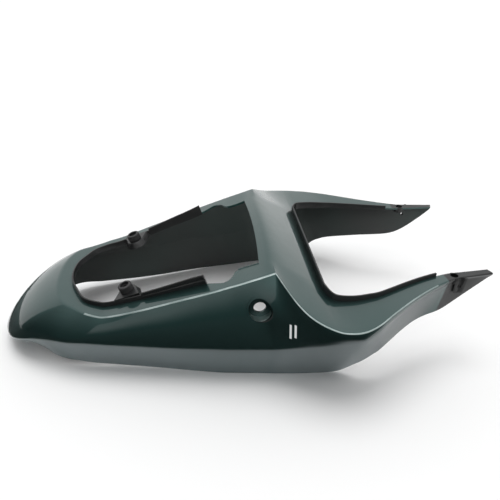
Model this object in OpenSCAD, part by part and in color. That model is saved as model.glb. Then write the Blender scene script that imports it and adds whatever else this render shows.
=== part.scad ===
// Motorcycle tail fairing: one moulded shell with a pillion bay, a saddle and two seat arms.
// +X points to the front of the bike, +Y to its left, +Z up. The shell rests on its lower edge.
// Shapes are drawn from the saddle's sharp corner (x = 0) and then moved so that
// the origin is under the middle of the whole part.

/* [Lengths] */
// Tail tip behind the saddle's corner
tail_reach = 425; // [380:5:480]
// Arm tips ahead of the saddle's corner
arm_reach = 336; // [300:2:380]
// Rear end of the upper deck behind the saddle's corner
deck_reach = 328; // [322:1:345]
// Saddle, from its crease to the rider bay
saddle_l = 72; // [60:1:84]

/* [Heights] */
// Saddle crease above the floor
seat_h = 168; // [155:1:185]
// Upper deck at the tail
tail_deck_h = 92; // [86:1:100]
// Decks of the two arms
arm_h = 121; // [114:1:128]
// Fall of the upper deck towards the tail, in degrees
deck_pitch = 17.3; // [16:0.1:18.6]
// Rise of the saddle's crease in the middle
crown = 4; // [0:0.5:8]

/* [Widths] */
// Deck at the saddle's corner
deck_w = 282; // [270:2:296]
// Widest place, where the arms leave the body
haunch_w = 450; // [420:2:480]
// Side panels at the belly crease
belly_w = 420; // [404:2:432]
// Lower edges at their widest
base_w = 348; // [330:2:364]
// Between the outer faces of the two arm tips
tip_w = 236; // [220:2:250]
// Side panels' outward bulge
bulge = 5; // [1:0.5:9]
// Bulge of the rounded tail end
tail_bulge = 24; // [18:1:32]

/* [Shell] */
// Wall of the moulding
wall = 3; // [2.4:0.1:3.6]
// Rounding where deck and side meet
deck_round = 5; // [2:0.5:7]
// Extra rounding of the deck's edge at the tail
tail_soft = 1; // [0:0.5:9]
// Rounding along the belly crease
belly_round = 7; // [3:0.5:9]

/* [Pillion bay] */
// Length of the bay
bay_l = 288; // [270:1:294]
// Width of the bay at its widest
bay_w = 247; // [236:1:254]
// Strip between the bay and the saddle's crease
bay_strip = 19; // [14:1:26]

/* [Rider bay] */
// Width between the arms at the widest
rider_w = 307; // [290:1:330]
// Width at the bay's rear corners
corner_w = 253; // [240:1:262]

/* [Lips] */
// Thickness of the upstanding lips
lip_t = 2.8; // [2:0.1:3.4]
// Low lip round the rear of the pillion bay
low_lip_h = 7; // [4:0.5:9]
// Tall lips along its sides: height at the front end
tall_lip_h = 17; // [12:0.5:20]
// Tall lips: height at the rear end
tall_lip_rear = 10; // [8:0.5:14]
// Small lip beside the front of the pillion bay
front_lip_h = 2; // [1:0.5:6]
// Lip round the rider bay
rider_lip_h = 11; // [6:0.5:13]
// The same lip at its ends on the arms
rider_lip_end = 5; // [3:0.5:8]

/* [Grommets] */
// Centre of each grommet behind the saddle's corner
grommet_x = 213; // [208:1:218]
// Centre of each grommet from the middle plane
grommet_y = 77; // [74:1:80]
// Height of the ear above the deck
ear_h = 9; // [7.5:0.5:12]
// Thickness of the ear
ear_t = 3; // [2.4:0.1:4]
// Width of the ear's rounded end
ear_w = 28; // [26:1:32]
// How much the ear widens on each side towards the deck
ear_flare = 6; // [3:0.5:8]
// Outer diameter of the grommet
grommet_d = 21; // [18:0.5:24]
// Grommet above the ear
grommet_top = 11; // [8:0.5:13]
// Grommet below the ear
grommet_foot = 4; // [3:0.5:6]
// Hole of the ear, and the grommet's neck in it
neck_d = 14; // [12.5:0.5:15]
// Bore of the grommet
grommet_bore = 8; // [6:0.5:9]
// Wider mouth of the bore
mouth_d = 13.5; // [11:0.5:15]
// Depth of the mouth
mouth_h = 4; // [2:0.5:6]
// Free space between the rubber and its ear
rubber_gap = 0.15; // [0.1:0.05:0.3]

/* [Seat lock] */
// Lock hole behind the saddle's corner
lock_x = 23; // [15:1:40]
// Lock hole above the floor
lock_z = 119; // [112:0.5:126]
// Hole for the lock barrel
lock_d = 17.5; // [14:0.5:20]
// Recess round it
recess_d = 33; // [29:0.5:36]
// Depth of the recess at the hole
recess_h = 8; // [7:0.5:12]

/* [Arm screws] */
// Screw holes behind the arm tips
screw_set = 61; // [54:1:68]
// Screw holes in from the arm's outer crease
screw_in = 10; // [9:0.5:11]
// Screw ledge below the arm's deck
ledge_drop = 7; // [5:0.5:9]
// Screw hole
screw_d = 8; // [6:0.5:9]
// Pocket round the screw
pocket_d = 12; // [11:0.5:15]
// Scoop in the arm's flank: its width
scoop_d = 14; // [12:0.5:15]
// Depth of the scoop
scoop_in = 4; // [3:0.5:5]
// Middle of the scoop ahead of the screw
scoop_set = 8; // [7:0.5:10]
// Height of the scoop
scoop_h = 26; // [20:1:32]
// Drain hole in the scoop's back
drain_d = 5; // [4:0.5:6]
// Drain hole below the arm's deck
drain_drop = 17; // [15:0.5:19]

/* [Hidden] */
// Rows of the loft between two stations
sub = 3;
// Columns of the saddle from the middle plane to its side
span = 5;
// The origin lies under the middle of the whole length
shift_x = (tail_reach - arm_reach) / 2;
// Named stations: front of the pillion bay, saddle corner, rider bay corner
st_bay = 13;
st_corner = 14;
st_rider = 17;
st_arm = 19;
last = 26;
rows = last * sub;

// Upper deck's side profile: a slope that runs out level, with a small rise at the tail
function slope_z(x) = seat_h + x * tan(deck_pitch);
function deck_z(x) =
    (slope_z(x) + tail_deck_h + sqrt(pow(slope_z(x) - tail_deck_h, 2) + 25)) / 2
    + 0.12 * max(0, -x - deck_reach + 48);
function arm_z(f) = arm_h + f * (seat_h - arm_h);
function mix(a, b, f) = a + (b - a) * f;

// Guide curves of the loft, as shares of the named sizes.
// Inner edge: pillion bay, then the saddle's side, then the rider bay
bay_edge = [
    [1, 0], [0.987, 0.228], [0.954, 0.404], [0.919, 0.556], [0.873, 0.65],
    [0.821, 0.713], [0.754, 0.751], [0.588, 0.806], [0.423, 0.86], [0.264, 0.917],
    [0.183, 1], [0.134, 0.933], [0.103, 0.845], [0, 0.85]
];
saddle_edge = [[0.21, 1], [0.557, 0.62], [0.81, 0.316]];
rider_edge = [
    [0, 0, 0.083], [0.036, 0.958, 0.02], [0.095, 0.996, 0], [0.168, 1, 0],
    [0.25, 0.979, 0.01], [0.328, 0.946, 0.04], [0.537, 0.816, 0.12], [0.711, 0.733, 0.15],
    [0.803, 0.718, 0.16], [0.985, 0.7, 0.165]
];
// Deck crease: round the tail, out to the haunch, along the arm
deck_edge = [
    [1, 0], [0.991, 0.265], [0.954, 0.51], [0.901, 0.624], [0.846, 0.717], [0.785, 0.799],
    [0.718, 0.844], [0.569, 0.901], [0.429, 0.936], [0.291, 0.975], [0.219, 0.986], [0.176, 0.992],
    [0.148, 0.996], [0.057, 1], [0, 1]
];
haunch_edge = [
    [0.071, 0.503, 0.506], [0.14, 0.8, 0.235], [0.211, 0.957, 0.083], [0.25, 1, 0.034]
];
arm_edge = [
    [0.291, 0.997, 0.004], [0.344, 0.95, 0], [0.404, 0.847, 0.028], [0.47, 0.696, 0.08],
    [0.634, 0.351, 0.147], [0.776, 0.121, 0.167], [0.845, 0.06, 0.167], [1, 0, 0.165]
];
// Belly crease: [share of tail_reach, share of the half width, height as a share of seat_h]
belly_edge = [
    [1.004, 0, 0.095], [0.974, 0.232, 0.125], [0.911, 0.378, 0.199], [0.824, 0.488, 0.27],
    [0.74, 0.567, 0.297], [0.667, 0.616, 0.306], [0.589, 0.652, 0.303], [0.439, 0.713, 0.294],
    [0.331, 0.753, 0.294], [0.223, 0.793, 0.3], [0.169, 0.81, 0.297], [0.136, 0.819, 0.295],
    [0.114, 0.826, 0.294], [0.039, 0.854, 0.306], [0, 0.878, 0.324]
];
belly_front = [
    [0.099, 0.939, 0.374], [0.177, 0.972, 0.394], [0.248, 0.991, 0.41], [0.293, 0.994, 0.413]
];
// How far the belly crease hangs below the arm's deck, and lies in from it
belly_arm = [[38, 22], [27, 15], [17, 9], [10, 5.5], [6.5, 3], [5, 2.2], [5, 2], [5, 1.5]];
// Lower edge: [share of tail_reach, share of the half width, height above the floor]
base_edge = [
    [0.897, 0, 9.6], [0.879, 0.191, 10.9], [0.84, 0.383, 13.4], [0.774, 0.56, 13],
    [0.698, 0.619, 8.3], [0.638, 0.648, 5.8], [0.569, 0.675, 4.1], [0.431, 0.736, 1.9],
    [0.322, 0.795, 1.3], [0.217, 0.847, 0.4], [0.164, 0.868, 0.1], [0.131, 0.878, 0],
    [0.109, 0.885, 0], [0.036, 0.908, 0], [0, 0.92, 0]
];
base_front = [
    [0.107, 0.942, 0], [0.19, 0.953, 0], [0.251, 0.961, 0.6], [0.297, 0.972, 5.8]
];
base_arm = [
    [0.335, 0.998, 17.3], [0.381, 1.016, 28.8], [0.427, 0.998, 36.5], [0.484, 0.95, 44.2],
    [0.636, 0.784, 61.4], [0.758, 0.714, 68.5], [0.853, 0.671, 83.3], [0.989, 0.66, 119.5]
];

function inner_pt(k) =
    k <= st_bay ? let (x = -bay_strip - bay_edge[k][0] * bay_l)
        [x, bay_edge[k][1] * bay_w / 2, deck_z(x)]
    : k < st_rider ? let (s = saddle_edge[k - st_corner], y0 = bay_edge[st_bay][1] * bay_w / 2)
        [mix(-bay_strip, saddle_l, s[0]), mix(y0, corner_w / 2, s[0]), arm_z(s[1])]
    : let (s = rider_edge[k - st_rider])
        [mix(saddle_l, arm_reach, s[0]), s[1] == 0 ? corner_w / 2 : s[1] * rider_w / 2, arm_z(s[2])];

function deck_pt(k) =
    k <= st_corner ? let (x = -deck_edge[k][0] * deck_reach) [x, deck_edge[k][1] * deck_w / 2, deck_z(x)]
    : k < st_arm ? let (s = haunch_edge[k - st_corner - 1])
        [s[0] * arm_reach, mix(deck_w, haunch_w, s[1]) / 2, arm_z(s[2])]
    : let (s = arm_edge[k - st_arm]) [s[0] * arm_reach, mix(tip_w, haunch_w, s[1]) / 2, arm_z(s[2])];

function belly_pt(k) =
    k <= st_corner ? let (s = belly_edge[k]) [-s[0] * tail_reach, s[1] * belly_w / 2, s[2] * seat_h]
    : k < st_arm ? let (s = belly_front[k - st_corner - 1])
        [s[0] * arm_reach, s[1] * belly_w / 2, s[2] * seat_h]
    : let (s = belly_arm[k - st_arm], b = deck_pt(k))
        [b[0] + s[1] * max(0, 0.8 - 0.2 * (k - st_arm)), b[1] - s[1], b[2] - s[0]];

function base_pt(k) =
    k <= st_corner ? [-base_edge[k][0] * tail_reach, base_edge[k][1] * base_w / 2, base_edge[k][2]]
    : k < st_arm ? let (s = base_front[k - st_corner - 1]) [s[0] * arm_reach, s[1] * base_w / 2, s[2]]
    : let (s = base_arm[k - st_arm]) [s[0] * arm_reach, s[1] * base_w / 2, s[2]];

// Smooth curve through the stations, with a true corner at station `brk`
function flip(p) = [p[0], -p[1], p[2]];
function curve_at(L, r, brk) =
    let (
        k = min(floor(r / sub), last - 1),
        t = r / sub - k,
        p1 = L[k],
        p2 = L[k + 1],
        p0 = k == 0 ? flip(L[1]) : k == brk ? 2 * p1 - p2 : L[k - 1],
        p3 = k + 2 > last || k + 1 == brk ? 2 * p2 - p1 : L[k + 2],
        m1 = (p2 - p0) / 2,
        m2 = (p3 - p1) / 2
    )
    p1 * (2 * t * t * t - 3 * t * t + 1) + m1 * (t * t * t - 2 * t * t + t)
    + p2 * (3 * t * t - 2 * t * t * t) + m2 * (t * t * t - t * t);

inner_s = [for (k = [0:last]) inner_pt(k)];
deck_s = [for (k = [0:last]) deck_pt(k)];
belly_s = [for (k = [0:last]) belly_pt(k)];
base_s = [for (k = [0:last]) base_pt(k)];
inner_c = [for (r = [0:rows]) curve_at(inner_s, r, st_rider)];
deck_c = [for (r = [0:rows]) curve_at(deck_s, r, st_corner)];
belly_c = [for (r = [0:rows]) curve_at(belly_s, r, -1)];
base_c = [for (r = [0:rows]) curve_at(base_s, r, -1)];

function unit(v) = v / max(norm(v), 1e-9);
// Point between a and b, pushed out by h along n
function bowed(a, b, n, h, t) = a + (b - a) * t + n * h * 4 * t * (1 - t);
// Three points that round the corner c between a and b with radius size r
function rounded(a, c, b, r) =
    let (
        p = c + unit(a - c) * min(r, norm(a - c) * 0.42),
        q = c + unit(b - c) * min(r, norm(b - c) * 0.42)
    )
    [p, p * 0.25 + c * 0.5 + q * 0.25, q];

// Direction of a guide curve at row r
function along(L, r) = unit(L[min(r + 1, rows)] - (r == 0 ? flip(L[1]) : L[r - 1]));
function mitred(n1, n2) = (n1 + n2) / max(1 + n1 * n2, 0.5);
function clamp01(v) = max(0, min(1, v));
// How much the side bows out at row r: most at the tail
function bow(r) =
    let (f = max(0, 1 - r / (4 * sub)))
    mix(bulge, tail_bulge, f * f * (3 - 2 * f)) * min(1, norm(belly_c[r] - deck_c[r]) / 60);

// Deck crease, side panel, belly crease and the band under it, down to the lower edge
function side_part(a, b, c, d, u, h, r1, r2, e) =
    let (
        out = unit(cross(u, c - b)),
        g1 = bowed(b, c, out, h, 0.06),
        g2 = bowed(b, c, out, h, 0.94),
        rb = rounded(a, b, g1 + (g1 - b) * 6, r1),
        rc = rounded(g2 + (g2 - c) * 6, c, d, r2)
    )
    concat(
        rb,
        [for (t = [0.2, 0.4, 0.6, 0.8]) bowed(rb[2], rc[0], out, h * 0.93, t) + e * min(1, 3 * t) * (1 - t)],
        rc,
        [mix(c, d, 0.4), mix(c, d, 0.72), d]
    );

// From the deck's crease at row r to the mean of its neighbours: carries the panel past the corner
ease_n = 5;
function ease(r) =
    abs(r - st_corner * sub) > 2 * ease_n ? [0, 0, 0]
    : let (w = pow(cos(45 * (r - st_corner * sub) / ease_n), 2))
        w * ([for (d = [-ease_n:ease_n]) 1] * [for (d = [-ease_n:ease_n]) deck_c[r + d]]
            / (2 * ease_n + 1) - deck_c[r]);

// How much the deck's edge softens at row r
function soft(r) = tail_soft * clamp01(1 - r / (5 * sub));

// One section of the left half, from the middle plane or the bay down to the lower edge
function section(r) =
    let (
        a = inner_c[r],
        b = deck_c[r],
        s = clamp01((r - st_bay * sub) / ((st_rider - st_bay) * sub))
    )
    concat(
        [for (j = [0:span - 1]) let (f = j / span)
            [a[0] + (1 - f * f) * 4 * (1 - s), a[1] * f, a[2] + (1 - f * f) * crown * (1 - s)]],
        [a, mix(a, b, 0.4)],
        side_part(a, b, belly_c[r], base_c[r], along(deck_c, r), bow(r),
            deck_round + soft(r), belly_round, ease(r))
    );

grid = [for (r = [0:rows]) section(r)];
cols = len(grid[0]) - 1;

// The saddle's span exists only between the two bays
function in_span(r) = r >= st_bay * sub && r < st_rider * sub;
function has(r, j) = r >= 0 && r < rows && j >= 0 && j < cols && (j >= span || in_span(r));

// Inner skin: each point moves in along the mitre of its neighbours
function near_row(r, j, d) =
    r + d < 0 ? flip(grid[1][j])
    : r + d > rows || (j < span && (r + d < st_bay * sub || r + d > st_rider * sub)) ? grid[r][j]
    : grid[r + d][j];
function near_col(r, j, d) =
    j + d < 0 ? flip(grid[r][1])
    : j == span && d < 0 && !(has(r, span - 1) || has(r - 1, span - 1)) ? undef
    : grid[r][j + d];
function mitre(r, j) =
    let (
        p = grid[r][j],
        u = near_row(r, j, 1) - near_row(r, j, -1),
        c1 = near_col(r, j, -1),
        c2 = near_col(r, j, 1),
        n1 = is_undef(c1) ? undef : unit(cross(u, p - c1)),
        n2 = unit(cross(u, c2 - p))
    )
    is_undef(n1) ? n2 : mitred(n1, n2);
// The side's inner skin has its own creases, so that tight corners don't fold over
function inner_side(r) =
    let (
        a = inner_c[r],
        b = deck_c[r],
        c = belly_c[r],
        d = base_c[r],
        u = along(deck_c, r),
        v = along(belly_c, r),
        out = unit(cross(u, c - b)),
        h = bow(r),
        n1 = unit(cross(u, b - a)),
        n2 = unit(cross(u, bowed(b, c, out, h, 0.06) - b)),
        n3 = unit(cross(v, c - bowed(b, c, out, h, 0.94))),
        n4 = unit(cross(v, d - c))
    )
    side_part(
        a - n1 * wall, b - mitred(n1, n2) * wall, c - mitred(n3, n4) * wall, d - n4 * wall,
        u, h, max(deck_round + soft(r) - wall, 1), max(belly_round - wall, 1), ease(r)
    );
skin = [for (r = [0:rows]) concat(
    [for (j = [0:span + 1]) grid[r][j] - mitre(r, j) * wall],
    inner_side(r)
)];

count = (rows + 1) * (cols + 1);
// Index of a point: side 0 is the left half, side 1 its mirror image; layer 0 is outside
function id(side, layer, r, j) =
    ((r == 0 || j == 0) ? 0 : side * 2 * count) + layer * count + r * (cols + 1) + j;
function quad(side, a, b, c, d) = side == 1 ? [[a, b, c], [a, c, d]] : [[a, c, b], [a, d, c]];

module shell() {
    half = concat([for (r = grid) for (p = r) p], [for (r = skin) for (p = r) p]);
    points = concat(half, [for (p = half) flip(p)]);
    faces = [
        for (s = [0, 1], r = [0:rows - 1], j = [0:cols - 1])
            if (has(r, j))
                let (
                    a = id(s, 0, r, j),
                    b = id(s, 0, r + 1, j),
                    c = id(s, 0, r + 1, j + 1),
                    d = id(s, 0, r, j + 1),
                    e = id(s, 1, r, j),
                    f = id(s, 1, r + 1, j),
                    g = id(s, 1, r + 1, j + 1),
                    h = id(s, 1, r, j + 1)
                )
                each concat(
                    quad(s, a, b, c, d),
                    quad(s, e, h, g, f),
                    j > 0 && !has(r, j - 1) ? quad(s, a, e, f, b) : [],
                    !has(r, j + 1) ? quad(s, c, g, h, d) : [],
                    r > 0 && !has(r - 1, j) ? quad(s, d, h, e, a) : [],
                    !has(r + 1, j) ? quad(s, b, f, g, c) : []
                )
    ];
    polyhedron(points = points, faces = faces, convexity = 8);
}

// Upstanding lip along a path on the bay's edge, h1 high where it starts and h2 where it ends;
// `tilt` leans it with the deck
lip_root = 1;
module lip(path, h1, h2, tilt) {
    n = len(path);
    up = [sin(-tilt), 0, cos(tilt)];
    along = [for (i = [0:n - 1]) unit(path[min(i + 1, n - 1)] - path[max(i - 1, 0)])];
    side = [for (i = [0:n - 1]) unit(cross(up, along[i]))];
    points = [
        for (i = [0:n - 1])
            let (p = path[i] + side[i] * lip_root, a = p - side[i] * lip_t, h = mix(h1, h2, i / (n - 1)))
                each [a - up * wall, p - up * wall, p + up * h, a + up * h]
    ];
    faces = concat(
        [[0, 1, 2], [0, 2, 3]],
        [[4 * n - 4, 4 * n - 2, 4 * n - 3], [4 * n - 4, 4 * n - 1, 4 * n - 2]],
        [for (i = [0:n - 2], k = [0:3])
            let (a = 4 * i + k, b = 4 * i + (k + 1) % 4) each [[a, a + 4, b + 4], [a, b + 4, b]]]
    );
    polyhedron(points = points, faces = faces, convexity = 4);
}

// Rows where the lips change: low lip, tall lip, front lip, and the rider bay's lip
lip_a = 7 * sub;
lip_b = 9 * sub;
lip_c = 12 * sub;
lip_d = st_rider * sub;
lip_e = 24 * sub - 1;
// Point of the bays' edge at row r, also for the mirrored half
function edge_at(r) = r < 0 ? flip(inner_c[-r]) : inner_c[r];

module both_sides() {
    children();
    mirror([0, 1, 0]) children();
}

// Place of the grommets and their ears, square to the sloping deck
ear_z = deck_z(-grommet_x) + ear_h;
module at_ear() {
    translate([-grommet_x, grommet_y, ear_z]) rotate([0, -deck_pitch, 0]) children();
}

module ear() {
    at_ear() translate([0, 0, -ear_t]) {
        cylinder(h = ear_t, d = ear_w, $fn = 48);
        linear_extrude(ear_t)
            polygon([
                [-ear_w / 2, 0], [ear_w / 2, 0],
                [ear_w / 2 + ear_flare, 22.5], [-ear_w / 2 - ear_flare, 22.5]
            ]);
    }
}

// Seat lock on the right side: its recess has a level axis while the panel leans
lock_row = max([for (r = [0:rows]) if (deck_c[r][0] < -lock_x) r]);
lock_t = (deck_c[lock_row][2] - lock_z) / (deck_c[lock_row][2] - belly_c[lock_row][2]);
lock_lean = atan2(belly_c[lock_row][1] - deck_c[lock_row][1], deck_c[lock_row][2] - belly_c[lock_row][2]);
lock_y = mix(deck_c[lock_row][1], belly_c[lock_row][1], lock_t)
    + bulge * 4 * lock_t * (1 - lock_t) * cos(lock_lean);
module at_lock() {
    translate([-lock_x, -lock_y, lock_z]) children();
}
module lock_cup() {
    at_lock() intersection() {
        rotate([90, 0, 0]) translate([0, 0, -recess_h - wall])
            cylinder(h = recess_h + wall + 20, d = recess_d + 2 * wall, $fn = 72);
        rotate([90 - lock_lean, 0, 0]) translate([-40, -40, -81.2]) cube([80, 80, 80]);
    }
}
module lock_cut() {
    at_lock() rotate([90, 0, 0]) {
        translate([0, 0, -recess_h]) cylinder(h = recess_h + 30, d = recess_d, $fn = 72);
        translate([0, 0, -recess_h - 2 * wall]) cylinder(h = recess_h, d = lock_d, $fn = 64);
    }
}

// Screw ledge, pocket and scoop near the tip of the left arm
screw_x = arm_reach - screw_set;
screw_row = max([for (r = [0:rows]) if (deck_c[r][0] < screw_x) r]);
crease_y = deck_c[screw_row][1];
flank_lean = atan2(crease_y - base_c[screw_row][1], deck_c[screw_row][2] - base_c[screw_row][2]);
screw_y = crease_y - screw_in;
deck_top = deck_c[screw_row][2];
scoop_x = screw_x + scoop_set;
scoop_y = crease_y + scoop_d / 2 - scoop_in;
module arm_backing() {
    intersection() {
        union() {
            translate([screw_x, screw_y, deck_top - ledge_drop - wall])
                cylinder(h = ledge_drop + wall - 1, d = pocket_d + 5, $fn = 64);
            translate([scoop_x, scoop_y, deck_top - scoop_h - wall])
                cylinder(h = scoop_h + wall - 1, d = scoop_d + 2 * wall, $fn = 64);
        }
        translate([screw_x, crease_y, deck_top]) rotate([-flank_lean, 0, 0])
            translate([-40, -61, -60]) cube([80, 60, 70]);
    }
}
module arm_cuts() {
    translate([screw_x, screw_y, deck_top - ledge_drop]) cylinder(h = 30, d = pocket_d, $fn = 64);
    translate([screw_x, screw_y, deck_top - ledge_drop - 2 * wall])
        cylinder(h = 3 * wall, d = screw_d, $fn = 48);
    translate([scoop_x, scoop_y, deck_top - scoop_h]) cylinder(h = 60, d = scoop_d, $fn = 64);
    translate([scoop_x, scoop_y, deck_top - drain_drop]) rotate([90, 0, 0])
        cylinder(h = scoop_d, d = drain_d, $fn = 48);
}

module tail_shell() {
    color([0.07, 0.16, 0.14])
    translate([shift_x, 0, 0])
    difference() {
        union() {
            shell();
            lip([for (r = [-lip_a:lip_a]) edge_at(r)], low_lip_h, low_lip_h, 0);
            both_sides() lip([for (r = [lip_a:lip_b]) edge_at(r)], tall_lip_rear, tall_lip_h, deck_pitch);
            both_sides()
                lip([for (r = [lip_c:st_bay * sub]) edge_at(r)], front_lip_h, front_lip_h, deck_pitch);
            lip([flip(edge_at(lip_d)), edge_at(lip_d)], rider_lip_h, rider_lip_h, 0);
            both_sides() lip([for (r = [lip_d:lip_e]) edge_at(r)], rider_lip_h, rider_lip_end, 0);
            both_sides() ear();
            both_sides() arm_backing();
            lock_cup();
        }
        both_sides() at_ear() translate([0, 0, -ear_t - 5]) cylinder(h = ear_t + 10, d = neck_d, $fn = 48);
        both_sides() arm_cuts();
        lock_cut();
    }
}

module grommet() {
    slack = rubber_gap;
    rotate_extrude($fn = 64)
        polygon([
            [grommet_bore / 2, -ear_t - grommet_foot],
            [grommet_d / 2 - 2, -ear_t - grommet_foot],
            [grommet_d / 2 - 0.5, -ear_t - slack],
            [neck_d / 2 - slack, -ear_t - slack],
            [neck_d / 2 - slack, slack],
            [grommet_d / 2, slack],
            [grommet_d / 2, grommet_top - 1],
            [grommet_d / 2 - 1, grommet_top],
            [mouth_d / 2, grommet_top],
            [mouth_d / 2, grommet_top - mouth_h],
            [grommet_bore / 2, grommet_top - mouth_h]
        ]);
}

module grommet_left() {
    color([0.05, 0.05, 0.05]) translate([shift_x, 0, 0]) at_ear() grommet();
}

module grommet_right() {
    color([0.05, 0.05, 0.05]) translate([shift_x, 0, 0]) mirror([0, 1, 0]) at_ear() grommet();
}

tail_shell();
grommet_left();
grommet_right();
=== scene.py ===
# %% [markdown]
# # A motorcycle tail fairing
# The real part is one thin plastic moulding. It wraps the tail of the bike, leaves an open bay
# for the pillion seat, slopes down over a saddle and runs forward in two arms beside the rider.
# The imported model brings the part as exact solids. Its shell is made of flat facets there, and
# a glossy paint shows every one of them, so this lesson lofts the shell again, finely. A few of
# its lines also follow the photograph more closely, and all of it stays inside the solids' box.

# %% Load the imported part
import math
import bpy
from mathutils import Matrix, Vector


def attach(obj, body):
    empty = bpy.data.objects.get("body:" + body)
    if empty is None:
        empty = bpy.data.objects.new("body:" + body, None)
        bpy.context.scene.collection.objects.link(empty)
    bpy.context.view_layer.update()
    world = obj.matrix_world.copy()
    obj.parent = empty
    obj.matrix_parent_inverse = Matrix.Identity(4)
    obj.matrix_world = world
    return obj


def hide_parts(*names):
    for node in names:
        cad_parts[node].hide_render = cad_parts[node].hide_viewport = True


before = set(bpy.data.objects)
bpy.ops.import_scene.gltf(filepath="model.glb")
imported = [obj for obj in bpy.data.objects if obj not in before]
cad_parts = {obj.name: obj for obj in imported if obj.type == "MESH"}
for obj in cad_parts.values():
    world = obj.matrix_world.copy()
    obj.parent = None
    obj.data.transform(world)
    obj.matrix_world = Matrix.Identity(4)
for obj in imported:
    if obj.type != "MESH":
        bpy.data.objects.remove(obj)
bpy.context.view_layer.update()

# %% [markdown]
# ## Sizes
# All lengths are in millimetres, as on the drawing, and go to metres only when a mesh is made.
# The names are those of the part's own source: the saddle's sharp corner is the zero of the
# guide curves, and `SHIFT` carries them to the origin under the middle of the part. The values
# are the source's too, apart from the panels' bulge, which was read off the photograph again.

# %% Named sizes
TAIL, ARM, DECK, SADDLE = 425.0, 336.0, 328.0, 72.0
SEAT_H, TAIL_H, ARM_H, PITCH, CROWN = 168.0, 92.0, 121.0, math.radians(17.3), 4.0
DECK_W, HAUNCH_W, BELLY_W, BASE_W, TIP_W = 282.0, 450.0, 420.0, 348.0, 236.0
BULGE, TAIL_BULGE, WALL = 3.0, 12.0, 3.0
BAY_L, BAY_W, BAY_STRIP, RIDER_W, CORNER_W = 288.0, 247.0, 19.0, 307.0, 253.0
SHIFT = (TAIL - ARM) / 2
ST_BAY, ST_CORNER, ST_RIDER, ST_ARM, LAST = 13, 14, 17, 19, 26
MM = 0.001
print("length", TAIL + ARM, "mm, width", HAUNCH_W, "mm")

# %% [markdown]
# ## Guide curves
# A body panel like this is drawn as a few long curves: the edge of the openings, the crease
# where the deck meets the side, the crease at the belly and the lower edge. Each list gives
# the same stations on all four curves, as shares of the named sizes. The belly crease is the
# line that was read again most carefully, so its stations lie higher here than in the source,
# and three stations beside the saddle are trimmed by less than a millimetre.

# %% Stations along the openings and the deck's crease
BAY_EDGE = [
    (1, 0), (0.987, 0.228), (0.954, 0.404), (0.919, 0.556), (0.873, 0.65), (0.821, 0.713), (0.754, 0.751),
    (0.588, 0.806), (0.423, 0.86), (0.264, 0.917), (0.183, 1), (0.134, 0.933), (0.103, 0.845), (0, 0.85),
]
SADDLE_EDGE = [(0.21, 0.985), (0.557, 0.62), (0.81, 0.316)]
RIDER_EDGE = [
    (0, 0, 0.083), (0.036, 0.958, 0.02), (0.095, 0.996, 0), (0.168, 1, 0), (0.25, 0.979, 0.01),
    (0.328, 0.946, 0.04), (0.537, 0.816, 0.12), (0.711, 0.733, 0.15), (0.803, 0.718, 0.16),
    (0.985, 0.7, 0.165),
]
DECK_EDGE = [
    (1, 0), (0.991, 0.265), (0.954, 0.51), (0.901, 0.624), (0.846, 0.717), (0.785, 0.799), (0.718, 0.844),
    (0.569, 0.901), (0.429, 0.936), (0.291, 0.975), (0.219, 0.986), (0.176, 0.992), (0.148, 0.996),
    (0.057, 1), (0, 1),
]
HAUNCH_EDGE = [(0.071, 0.503, 0.506), (0.14, 0.8, 0.235), (0.211, 0.957, 0.083), (0.25, 0.993, 0.034)]
ARM_EDGE = [
    (0.291, 0.991, 0.004), (0.344, 0.95, 0), (0.404, 0.847, 0.028), (0.47, 0.696, 0.08),
    (0.634, 0.351, 0.147), (0.776, 0.121, 0.167), (0.845, 0.06, 0.167), (1, 0, 0.165),
]

# %% Stations along the belly's crease and the lower edge
BELLY_EDGE = [
    (1.004, 0, 0.095), (0.974, 0.232, 0.125), (0.911, 0.378, 0.199), (0.811, 0.481, 0.3),
    (0.73, 0.557, 0.327), (0.657, 0.604, 0.345), (0.583, 0.638, 0.346), (0.439, 0.696, 0.349),
    (0.331, 0.737, 0.353), (0.223, 0.776, 0.363), (0.169, 0.793, 0.364), (0.136, 0.801, 0.364),
    (0.114, 0.808, 0.366), (0.04, 0.834, 0.377), (0, 0.857, 0.394),
]
BELLY_FRONT = [(0.091, 0.943, 0.479), (0.16, 1.019, 0.557), (0.221, 1.053, 0.602), (0.264, 1.056, 0.608)]
BELLY_ARM = [
    (16, 1.2, 8), (16.4, 3.6, 5.5), (14.6, 3.1, 3), (15.4, 4, 2), (14, 4, 2), (8, 2.8, 1), (5.5, 2.2, 0),
    (5, 1.5, 0),
]
BASE_EDGE = [
    (0.897, 0, 9.6), (0.879, 0.191, 10.9), (0.84, 0.383, 13.4), (0.774, 0.56, 13), (0.698, 0.619, 8.3),
    (0.638, 0.648, 5.8), (0.569, 0.675, 4.1), (0.431, 0.736, 1.9), (0.322, 0.795, 1.3), (0.217, 0.847, 0.4),
    (0.164, 0.868, 0.1), (0.131, 0.878, 0), (0.109, 0.885, 0), (0.036, 0.908, 0), (0, 0.92, 0),
]
BASE_FRONT = [(0.107, 0.942, 0), (0.19, 0.953, 0), (0.251, 0.961, 0.6), (0.297, 0.972, 5.8)]
BASE_ARM = [
    (0.335, 0.998, 17.3), (0.381, 1.016, 28.8), (0.427, 0.998, 36.5), (0.484, 0.95, 44.2),
    (0.636, 0.784, 61.4), (0.758, 0.714, 68.5), (0.853, 0.671, 83.3), (0.989, 0.66, 119.5),
]

# %% Heights of the decks
LEVEL_SOFT = 5.0
TAIL_RISE, RISE_BEFORE = 0.12, 48


def mix(a, b, f):
    return a + (b - a) * f


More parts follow.
